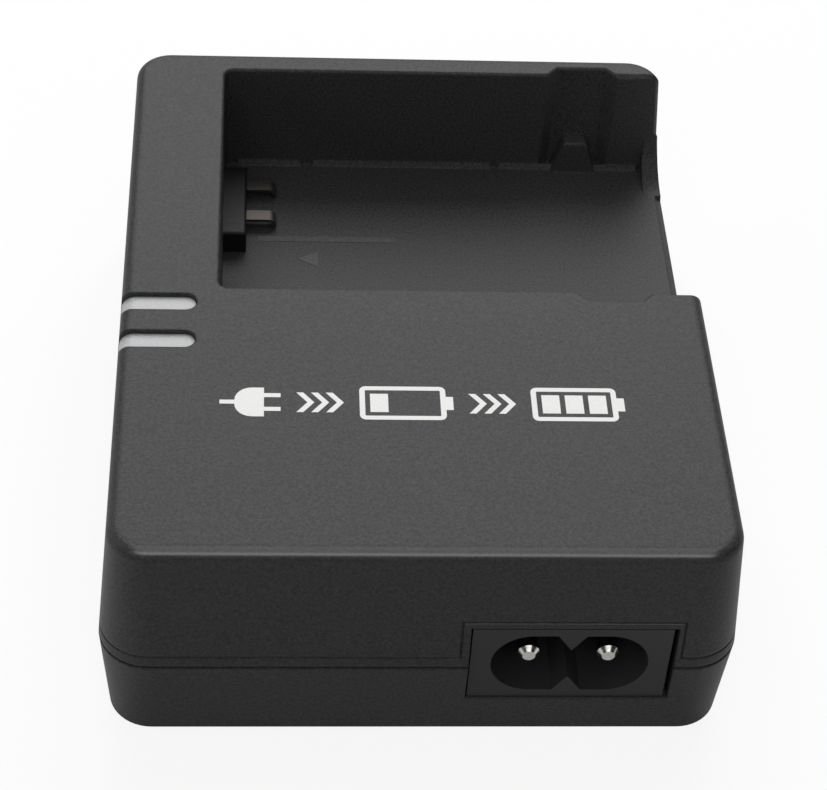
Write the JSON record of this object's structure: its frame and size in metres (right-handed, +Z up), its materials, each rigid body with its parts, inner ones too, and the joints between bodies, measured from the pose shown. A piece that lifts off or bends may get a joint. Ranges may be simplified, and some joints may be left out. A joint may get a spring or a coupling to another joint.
{
  "type": "camera battery charger",
  "caption": "Flat box charger with an open battery bay with spring contacts, two light guides over its edge and a two-pin mains inlet in its front.",
  "frame": {"origin": "middle of the footprint, on the surface that the charger stands on", "axes": "+X to the right, where the battery bay is open; +Y from the inlet to the back; +Z up"},
  "size_m": [0.069, 0.0874, 0.028],
  "materials": {
    "casing": "fine-grained moulded",
    "inlet": "moulded",
    "pins": "nickel plated",
    "light_guide": "frosted translucent",
    "lamp": "clear cast resin",
    "terminal_block": "moulded",
    "contacts": "rolled strip, plated, dulled by use",
    "board": "phenolic laminate",
    "sleeve": "shrunk sleeve",
    "choke_sleeve": "shrunk sleeve",
    "resistor_coat": "dipped cement coat",
    "disc_coat": "dipped resin coat",
    "chip_body": "moulded resin",
    "ferrite": "sintered",
    "former": "moulded",
    "tape": "polyester tape"
  },
  "bodies": {
    "root": {"top_shell": "casing", "bottom_shell": "casing", "inlet_socket": "inlet", "inlet_pin_left": "pins", "inlet_pin_right": "pins", "charge_light_guide": "light_guide", "full_light_guide": "light_guide", "charge_led": "lamp", "full_led": "lamp", "terminal_block": "terminal_block", "contact_positive": "contacts", "contact_negative": "contacts", "circuit_board": "board", "mains_capacitor": "sleeve", "output_capacitor": "sleeve", "mains_choke": "choke_sleeve", "fuse_resistor": "resistor_coat", "output_diode": "chip_body", "safety_capacitor": "disc_coat", "bridge_rectifier": "chip_body", "switching_chip": "chip_body", "optocoupler": "chip_body", "charge_controller": "chip_body", "chip_resistors": "chip_body", "transformer_core": "ferrite", "transformer_bobbin": "former", "transformer_winding": "tape"}
  },
  "joints": []
}
